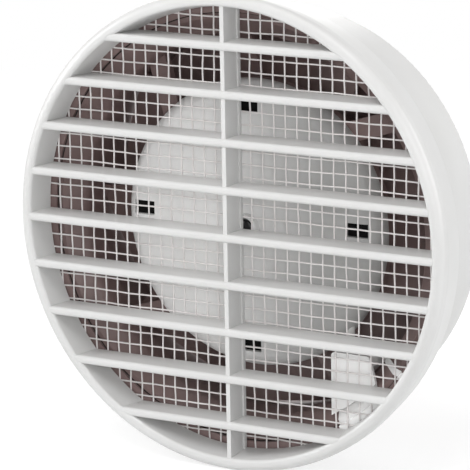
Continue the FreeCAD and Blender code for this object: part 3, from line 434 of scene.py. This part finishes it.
def make_worked_metal():
    """Machined or rolled metal: fine streaks along one axis, small stains and uneven gloss."""
    tree, given, out = start_group("worked_metal", [
        ("Colour", COLOUR, rgb(0.6, 0.6, 0.6)),
        ("Stain", COLOUR, rgb(0.4, 0.38, 0.35)),
        ("Streak Scale", NUMBER, STREAK_SCALE),
        ("Stain Scale", NUMBER, STAIN_SCALE),
        ("Roughness", NUMBER, 0.3),
    ], [("Colour", COLOUR), ("Roughness", NUMBER), ("Height", NUMBER)])
    stretched = add_node(tree, "ShaderNodeMapping", Vector=object_place(tree), Scale=STREAK_STRETCH)
    streaks = add_node(tree, "ShaderNodeTexNoise", Vector=stretched.outputs["Vector"],
                       Scale=given["Streak Scale"], Detail=3.0).outputs["Fac"]
    stains = spread(tree, noise(tree, given["Stain Scale"], detail=5.0, distortion=0.5), *STAIN_EDGES)
    feed(tree, mix_colour(tree, stains, given["Colour"], given["Stain"]), out["Colour"])
    uneven = plus(tree, times(tree, streaks, STREAK_DULLNESS), times(tree, stains, STAIN_DULLNESS))
    feed(tree, plus(tree, given["Roughness"], uneven, clamp=True), out["Roughness"])
    feed(tree, streaks, out["Height"])
    return tree


MOULDED_SKIN = make_moulded_skin()
SETTLED_DUST = make_settled_dust()
WORKED_METAL = make_worked_metal()


def place_group(tree, group, values):
    """Place a shader group in a material, with its own values, and give its outputs."""
    made = tree.nodes.new("ShaderNodeGroup")
    made.node_tree = group
    for label, value in values.items():
        feed(tree, value, made.inputs[label])
    return made.outputs


def start_material(name):
    material = bpy.data.materials.new(name)
    material.use_nodes = True
    return material, material.node_tree, material.node_tree.nodes["Principled BSDF"].inputs


def bump(tree, height, strength, socket):
    made = add_node(tree, "ShaderNodeBump", Height=height, Strength=strength, Distance=BUMP_HEIGHT)
    feed(tree, made.outputs["Normal"], socket)


def plastic(name, colour, shade, roughness, patch_scale=PATCH_SCALE, grain_scale=GRAIN_SCALE,
            grain=GRAIN_STRENGTH, dust=0.0, dust_colour=PALE_DUST, painted_shade=None, specular=0.5):
    """A moulded plastic; the optional painted shade gives the darker colour and shade it turns to along X,
    and the X where that starts and ends.
    """
    material, tree, shader = start_material(name)
    # Painted shade: the colour darkens along the object's X, standing in for a shadow
    if painted_shade:
        shadowed_colour, shadowed_skin_shade, start, end = painted_shade
        share = spread(tree, axis_of(tree, object_place(tree), "X"), start, end)
        colour = mix_colour(tree, share, colour, shadowed_colour)
        shade = mix_colour(tree, share, shade, shadowed_skin_shade)
    skin = place_group(tree, MOULDED_SKIN, {
        "Colour": colour, "Shade": shade, "Patch Scale": patch_scale, "Grain Scale": grain_scale,
        "Roughness": roughness})
    surface = skin
    if dust:
        surface = place_group(tree, SETTLED_DUST, {
            "Colour": skin["Colour"], "Roughness": skin["Roughness"], "Dust": dust_colour, "Amount": dust})
    feed(tree, surface["Colour"], shader["Base Color"])
    feed(tree, surface["Roughness"], shader["Roughness"])
    shader["Specular IOR Level"].default_value = specular
    bump(tree, skin["Height"], grain, shader["Normal"])
    return material


def metal(name, colour, stain, roughness):
    material, tree, shader = start_material(name)
    worked = place_group(tree, WORKED_METAL, {"Colour": colour, "Stain": stain, "Roughness": roughness})
    feed(tree, worked["Colour"], shader["Base Color"])
    feed(tree, worked["Roughness"], shader["Roughness"])
    shader["Metallic"].default_value = 1.0
    bump(tree, worked["Height"], STREAK_STRENGTH, shader["Normal"])
    return material


FINISHES = {
    "white_plastic": plastic("white_plastic", rgb(0.61, 0.61, 0.606), rgb(0.585, 0.585, 0.578),
                             roughness=0.36, dust=0.15),
    "net": plastic("net_thread", rgb(0.81, 0.785, 0.778), rgb(0.72, 0.685, 0.675),
                   roughness=0.5, patch_scale=90.0, grain_scale=4000.0, dust=0.2),
    "seal_foam": plastic("seal_foam", rgb(0.10, 0.10, 0.10), rgb(0.05, 0.05, 0.05),
                         roughness=0.9, patch_scale=400.0, grain_scale=1500.0, grain=0.8),
    "dark_plastic": plastic("frame_plastic", rgb(0.22, 0.153, 0.146), rgb(0.165, 0.112, 0.106),
                            roughness=0.5, dust=0.2, dust_colour=BROWN_DUST),
    "impeller_plastic": plastic("impeller_plastic", rgb(0.235, 0.165, 0.157), rgb(0.175, 0.12, 0.114),
                                roughness=0.45, dust=0.2, dust_colour=BROWN_DUST),
    # Painted shadow: the motor cover darkens from X -12 mm to 30 mm, standing in for the rib's shadow on its
    # right half
    "grey_plastic": plastic("motor_cover_plastic", rgb(0.88, 0.88, 0.875), rgb(0.84, 0.84, 0.83),
                            roughness=0.45,
                            painted_shade=(rgb(0.48, 0.48, 0.475), rgb(0.44, 0.44, 0.432), -12 * MM, 30 * MM)),
    "screw_steel": metal("screw_steel", rgb(0.62, 0.62, 0.63), rgb(0.45, 0.44, 0.42), roughness=0.28),
    "board": plastic("board_resin", rgb(0.03, 0.16, 0.07), rgb(0.02, 0.11, 0.05),
                     roughness=0.4, patch_scale=200.0),
    "component": plastic("component_cases", rgb(0.03, 0.03, 0.032), rgb(0.05, 0.05, 0.05),
                         roughness=0.45, patch_scale=300.0),
    "lamination": metal("core_laminations", rgb(0.33, 0.34, 0.36), rgb(0.22, 0.2, 0.18), roughness=0.4),
    "copper": metal("coil_copper", rgb(0.72, 0.30, 0.13), rgb(0.5, 0.18, 0.07), roughness=0.32),
    "bearing_steel": metal("bearing_steel", rgb(0.68, 0.68, 0.69), rgb(0.55, 0.54, 0.52), roughness=0.18),
    "shaft_steel": metal("shaft_steel", rgb(0.58, 0.58, 0.59), rgb(0.42, 0.41, 0.4), roughness=0.22),
    "rotor_steel": metal("rotor_zinc", rgb(0.5, 0.51, 0.53), rgb(0.4, 0.4, 0.4), roughness=0.42),
    "magnet": plastic("magnet_ferrite", rgb(0.05, 0.05, 0.052), rgb(0.08, 0.08, 0.08),
                      roughness=0.55, patch_scale=150.0),
    "terminal_plastic": plastic("terminal_box_plastic", rgb(0.92, 0.92, 0.915), rgb(0.90, 0.90, 0.892),
                                roughness=0.14, specular=0.9),
    "terminal_block": plastic("terminal_block_plastic", rgb(0.55, 0.56, 0.55), rgb(0.48, 0.48, 0.47),
                              roughness=0.4, patch_scale=200.0),
    "grommet_rubber": plastic("grommet_rubber", rgb(0.70, 0.70, 0.69), rgb(0.62, 0.61, 0.59),
                              roughness=0.6, patch_scale=200.0),
    # Near-black sheet that reflects almost nothing: painted shade for what is seen through the cover's
    # windows
    "shade_film": plastic("window_shade_film", rgb(0.006, 0.006, 0.006), rgb(0.010, 0.010, 0.010),
                    roughness=0.7, patch_scale=200.0, specular=0.05),
    "cap": plastic("shaft_cap_plastic", rgb(0.012, 0.012, 0.013), rgb(0.02, 0.02, 0.02),
                   roughness=0.14, patch_scale=200.0),
    # Near-black cord: partly a rubber seal, partly a painted shade line in the joint
    "seal_and_shade_cord": plastic("seal_and_shade_cord_rubber", rgb(0.05, 0.04, 0.038), rgb(0.035, 0.028, 0.027),
                         roughness=0.7, patch_scale=300.0, specular=0.2),
    "lead": plastic("lead_sleeve", rgb(0.78, 0.78, 0.77), rgb(0.7, 0.69, 0.67),
                    roughness=0.4, patch_scale=150.0),
}


def dress_nodes():
    """Each CAD node takes the finish of its slot in the record."""
    for piece in frame["record"]["subparts"]:
        for place in nodes[piece["node"]].material_slots:
            place.material = FINISHES[piece["material_slot"]]


# Shapes that are grown, turned or cut

def new_tree(name, inputs):
    """A geometry tree with the given named inputs, a material and a geometry output."""
    tree = bpy.data.node_groups.new(name, "GeometryNodeTree")
    tree.interface.new_socket("Geometry", in_out="OUTPUT", socket_type="NodeSocketGeometry")
    for label, kind in [*inputs, ("Material", "NodeSocketMaterial")]:
        tree.interface.new_socket(label, in_out="INPUT", socket_type=kind)
    return tree, tree.nodes.new("NodeGroupInput").outputs, tree.nodes.new("NodeGroupOutput").inputs


def finish_tree(tree, geometry, given, out):
    """Realize what the tree made and give it its finish."""
    real = add_node(tree, "GeometryNodeRealizeInstances", Geometry=geometry)
    dressed = add_node(tree, "GeometryNodeSetMaterial", Geometry=real.outputs[0], Material=given["Material"])
    feed(tree, dressed.outputs[0], out["Geometry"])


def circle(tree, steps, radius):
    return add_node(tree, "GeometryNodeCurvePrimitiveCircle", Resolution=steps, Radius=radius).outputs[0]


def shaped_mesh(piece):
    """A plain mesh of what a piece's modifiers make of it."""
    bpy.context.view_layer.update()
    depsgraph = bpy.context.evaluated_depsgraph_get()
    return bpy.data.meshes.new_from_object(piece.evaluated_get(depsgraph))


def keep_shape(piece):
    """Make what a piece's modifiers make of it its own mesh."""
    shaped = shaped_mesh(piece)
    piece.modifiers.clear()
    piece.data = shaped
    shaped.name = piece.name


def grow(name, tree, values, start=None):
    """Run a geometry tree on a new object and keep the result as a plain mesh."""
    piece = add_object(name, start or bpy.data.meshes.new(name))
    modifier = piece.modifiers.new("shape", "NODES")
    modifier.node_group = tree
    for item in tree.interface.items_tree:
        if item.in_out == "INPUT" and item.name in values:
            modifier[item.identifier] = values[item.name]
    keep_shape(piece)
    return piece


def make_ring_tree():
    """Copies of one piece, turned about the fan's axis."""
    tree, given, out = new_tree("ring_of_copies", [
        ("Geometry", "NodeSocketGeometry"), ("Count", "NodeSocketInt"), ("First Angle", NUMBER)])
    places = add_node(tree, "GeometryNodeMeshLine", {"mode": "OFFSET"}, Count=given["Count"],
                      Offset=(0.0, 0.0, 0.0))
    step = math_node(tree, "DIVIDE", FULL_TURN, given["Count"])
    index = tree.nodes.new("GeometryNodeInputIndex").outputs[0]
    angle = plus(tree, times(tree, index, step), given["First Angle"])
    copies = add_node(tree, "GeometryNodeInstanceOnPoints", Points=places.outputs[0],
                      Instance=given["Geometry"], Rotation=vector_of(tree, y=times(tree, angle, -1.0)))
    finish_tree(tree, copies.outputs[0], given, out)
    return tree


def grow_ring(name, ring, mesh, count, first_angle, finish):
    """Copies of a mesh round the fan's axis, as one piece."""
    return grow(name, ring, {"Count": count, "First Angle": first_angle, "Material": FINISHES[finish]}, mesh)


def mesh_of(shape, name):
    """Turn a shape into a mesh and free it."""
    mesh = bpy.data.meshes.new(name)
    shape.to_mesh(mesh)
    shape.free()
    return mesh


def lathe(name, profile, segments):
    """A closed turned shape about Z, from (radius, height) points that start and end on the axis."""
    shape = bmesh.new()
    angles = [FULL_TURN * i / segments for i in range(segments)]
    rings = []
    for radius, height in profile:
        if radius < NO_RADIUS:
            rings.append([shape.verts.new((0.0, 0.0, height))])
            continue
        rings.append([shape.verts.new((radius * math.cos(a), radius * math.sin(a), height)) for a in angles])
    for lower, upper in zip(rings, rings[1:]):
        for i in range(segments):
            around = ((lower, i), (lower, i + 1), (upper, i + 1), (upper, i))
            corners = dict.fromkeys(ring[turn % len(ring)] for ring, turn in around)
            shape.faces.new(list(corners))
    bmesh.ops.recalc_face_normals(shape, faces=shape.faces)
    return mesh_of(shape, name)


def cut_cross(mesh, top, length, width, depth):
    """Cut a cross recess into the top of a screw head."""
    shape = bmesh.new()
    for along, across in ((length, width), (width, length)):
        for corner in bmesh.ops.create_cube(shape, size=1.0)["verts"]:
            above = corner.co.z > 0
            taper = 1.0 if above else CROSS_TAPER
            height = top + (CROSS_OVERHANG * depth if above else -depth)
            corner.co = Vector((corner.co.x * along * taper, corner.co.y * across * taper, height))
    head = add_object("screw_blank", mesh)
    cutter = add_object("cross_cutter", mesh_of(shape, "cross_cutter"))
    boolean = head.modifiers.new("cross", "BOOLEAN")
    boolean.object = cutter
    boolean.use_self = True
    result = shaped_mesh(head)
    for spare in (head, cutter):
        bpy.data.objects.remove(spare)
    return result


def put(mesh, place, turn, axis):
    """Turn a mesh about an axis, then move it to its place."""
    mesh.transform(Matrix.Translation(place) @ Matrix.Rotation(turn, 4, axis))


def settle(piece, body, slot, *stands_for):
    """Tie a finished piece to its body and hide the CAD nodes that it stands for; slot is not used."""
    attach(piece, body)
    if stands_for:
        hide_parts(*stands_for)


# Insect net

def lay_threads(tree, given, upright):
    """One set of parallel threads, cut to the round, bent over and under the other set."""
    pitch, reach = given["Pitch"], given["Net Radius"]
    each_side = math_node(tree, "FLOOR", math_node(tree, "DIVIDE", reach, pitch))
    count = plus(tree, times(tree, each_side, 2.0), 1.0)
    first = times(tree, times(tree, each_side, pitch), -1.0)
    low = times(tree, reach, -1.0)
    sideways, along = ("x", "z") if upright else ("z", "x")
    row = add_node(tree, "GeometryNodeMeshLine", {"mode": "OFFSET"}, Count=count,
                   Start_Location=vector_of(tree, **{sideways: first}),
                   Offset=vector_of(tree, **{sideways: pitch}))
    line = add_node(tree, "GeometryNodeCurvePrimitiveLine", Start=vector_of(tree, **{along: low}),
                    End=vector_of(tree, **{along: reach}))
    steps = add_node(tree, "GeometryNodeResampleCurve", {"mode": "LENGTH"}, Curve=line.outputs[0],
                     Length=math_node(tree, "DIVIDE", pitch, NET_STEPS_PER_PITCH))
    copies = add_node(tree, "GeometryNodeInstanceOnPoints", Points=row.outputs[0], Instance=steps.outputs[0])
    threads = add_node(tree, "GeometryNodeRealizeInstances", Geometry=copies.outputs[0])
    place = tree.nodes.new("GeometryNodeInputPosition").outputs[0]
    bent = add_node(tree, "GeometryNodeSetPosition", Geometry=threads.outputs[0],
                    Offset=thread_bend(tree, given, place, 1.0 if upright else -1.0))
    outside = add_node(tree, "FunctionNodeCompare", {"operation": "GREATER_THAN"},
                       A=length_of(tree, flat(tree, place)), B=reach)
    cut = add_node(tree, "GeometryNodeDeleteGeometry", {"domain": "POINT"}, Geometry=bent.outputs[0],
                   Selection=outside.outputs[0])
    tube = add_node(tree, "GeometryNodeCurveToMesh", Curve=cut.outputs[0], Fill_Caps=True,
                    Profile_Curve=circle(tree, NET_THREAD_SIDES, given["Thread Radius"]))
    return tube.outputs[0]


def flat(tree, place):
    """A place with its Y set to nought."""
    return vector_of(tree, x=axis_of(tree, place, "X"), z=axis_of(tree, place, "Z"))


def thread_bend(tree, given, place, side):
    """How far a point of a thread leaves its straight line: the weave, and a slow wander in the plane."""
    total = plus(tree, axis_of(tree, place, "X"), axis_of(tree, place, "Z"))
    phase = times(tree, math_node(tree, "DIVIDE", total, given["Pitch"]), math.pi)
    wave = times(tree, math_node(tree, "COSINE", phase), side)
    weave = times(tree, wave, given["Weave Height"])
    drift = add_node(tree, "ShaderNodeTexNoise", {"noise_dimensions": "4D"}, Vector=place, W=given["Seed"],
                     Scale=NET_WANDER_SCALE, Detail=NET_WANDER_DETAIL).outputs["Color"]
    reach = times(tree, given["Wander"], 2.0)
    shifts = []
    for axis in ("X", "Y"):
        centred = math_node(tree, "SUBTRACT", axis_of(tree, drift, axis), 0.5)
        shifts.append(times(tree, centred, reach))
    return vector_of(tree, x=shifts[0], y=plus(tree, weave, given["Level"]), z=shifts[1])


def make_net():
    """A woven net that stands for the holed face of the CAD model."""
    sizes = {
        "Pitch": NET_PITCH, "Thread Radius": NET_THREAD_RADIUS, "Net Radius": NET_RADIUS,
        "Weave Height": NET_WEAVE_HEIGHT, "Wander": NET_WANDER, "Level": NET_LEVEL, "Seed": NET_SEED}
    tree, given, out = new_tree("woven_net", [(label, NUMBER) for label in sizes])
    join = tree.nodes.new("GeometryNodeJoinGeometry")
    for upright in (True, False):
        tree.links.new(lay_threads(tree, given, upright), join.inputs[0])
    smooth = add_node(tree, "GeometryNodeSetShadeSmooth", Geometry=join.outputs[0])
    finish_tree(tree, smooth.outputs[0], given, out)
    net = grow("insect_net", tree, {**sizes, "Material": FINISHES["net"]})
    settle(net, "housing", "net", "insect_mesh")


# Screws, films, seal, cap and plates

def make_screws(ring):
    """Countersunk screws round the spigot and pan head screws on the impeller, with cross recesses."""
    sunk = lathe("frame_screw", FRAME_SCREW_PROFILE, SCREW_SEGMENTS)
    sunk = cut_cross(sunk, FRAME_SCREW_PROFILE[-1][1], *FRAME_SCREW_CROSS)
    put(sunk, (SPIGOT_RADIUS, FRAME_SCREW_LEVEL, 0.0), QUARTER_TURN, "Y")
    frame_screws = grow_ring("spigot_screws", ring, sunk, FRAME_SCREW_COUNT, FRAME_SCREW_TURN, "screw_steel")
    settle(frame_screws, "housing", "screw_steel", "frame_screws")
    pan = lathe("impeller_screw", IMPELLER_SCREW_PROFILE, SCREW_SEGMENTS)
    pan = cut_cross(pan, IMPELLER_SCREW_PROFILE[-1][1], *IMPELLER_SCREW_CROSS)
    put(pan, (IMPELLER_SCREW_CIRCLE, IMPELLER_SCREW_SEAT, 0.0), -QUARTER_TURN, "X")
    hub_screws = grow_ring("hub_screws", ring, pan, IMPELLER_SCREW_COUNT, 0.0, "screw_steel")
    settle(hub_screws, "rotor", "screw_steel", "impeller_screws")


def make_window_shade_films(ring):
    """A near-black sheet behind each of the motor cover's windows: painted shade for the dark inside them.
    """
    shape = bmesh.new()
    bmesh.ops.create_cube(shape, size=1.0, matrix=Matrix.Diagonal((*SHADE_FILM_SIZE, 1.0)))
    shade_film = mesh_of(shape, "window_shade_film")
    shade_film.transform(Matrix.Translation((WINDOW_CIRCLE, SHADE_FILM_LEVEL + SHADE_FILM_SIZE[1] / 2, 0.0)))
    shade_films = grow_ring("window_shade_films", ring, shade_film, WINDOW_COUNT, 0.0, "shade_film")
    settle(shade_films, "housing", "dark_plastic")


def make_flare_seal_and_shade_line():
    """A dark rubber ring that closes the joint between the flare and the net's ring and also paints the
    joint's shade line.
    """
    tree, given, out = new_tree("seal_and_shade_ring", [("Ring Radius", NUMBER), ("Section Radius", NUMBER)])
    ring = add_node(tree, "GeometryNodeCurveToMesh", Curve=circle(tree, SEAL_STEPS, given["Ring Radius"]),
                    Profile_Curve=circle(tree, SEAL_SECTION_SIDES, given["Section Radius"]))
    smooth = add_node(tree, "GeometryNodeSetShadeSmooth", Geometry=ring.outputs[0])
    finish_tree(tree, smooth.outputs[0], given, out)
    seal = grow("flare_seal_and_shade_line", tree, {
        "Ring Radius": SEAL_RADIUS, "Section Radius": SEAL_SECTION_RADIUS,
        "Material": FINISHES["seal_and_shade_cord"]})
    put(seal.data, (0.0, SEAL_LEVEL, 0.0), QUARTER_TURN, "X")
    settle(seal, "housing", "seal_foam")


def make_shaft_cap():
    """A glossy black dust cap on the shaft's front end."""
    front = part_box("motor_shaft")[0][1]
    cap = lathe("shaft_cap", CAP_PROFILE, CAP_SEGMENTS)
    put(cap, (0.0, front, 0.0), QUARTER_TURN, "X")
    cap.materials.append(FINISHES["cap"])
    cap.shade_smooth()
    settle(add_object("shaft_cap", cap), "rotor", "dark_plastic")


def flare_surface(name, sides):
    """The part of the flare's front between two slanted sides."""
    inner_radius, outer_radius = FLARE_PROFILE[0][0], FLARE_PROFILE[-1][0]
    shape = bmesh.new()
    rows = []
    for radius, level in FLARE_PROFILE:
        share = (radius - inner_radius) / (outer_radius - inner_radius)
        first, last = (math.radians(inner + (outer - inner) * share) for inner, outer in sides)
        turns = [first + (last - first) * i / PLATE_STEPS for i in range(PLATE_STEPS + 1)]
        rows.append([shape.verts.new((radius * math.cos(a), level, radius * math.sin(a))) for a in turns])
    for near, far in zip(rows, rows[1:]):
        for i in range(PLATE_STEPS):
            shape.faces.new((near[i], near[i + 1], far[i + 1], far[i]))
    bmesh.ops.recalc_face_normals(shape, faces=shape.faces)
    return mesh_of(shape, name)


def make_flare_plate(name, sides):
    """A thin white plate with soft edges that lies on the flare."""
    piece = add_object(name, flare_surface(name, sides))
    wall = piece.modifiers.new("wall", "SOLIDIFY")
    wall.thickness = PLATE_THICKNESS
    wall.offset = 0.0
    edges = piece.modifiers.new("edges", "BEVEL")
    edges.width = PLATE_ROUNDING
    edges.segments = PLATE_ROUNDING_SEGMENTS
    keep_shape(piece)
    piece.data.materials.clear()
    piece.data.materials.append(FINISHES["terminal_plastic"])
    piece.data.shade_smooth()
    settle(piece, "housing", "terminal_plastic")


place_camera()
light_studio()
make_world()
make_floor()
bpy.context.scene.view_settings.view_transform = "Standard"
dress_nodes()
ring_tree = make_ring_tree()
make_net()
make_screws(ring_tree)
make_window_shade_films(ring_tree)
make_flare_seal_and_shade_line()
make_shaft_cap()
make_flare_plate("terminal_apron", APRON_SIDES)
make_flare_plate("terminal_strap", STRAP_SIDES)
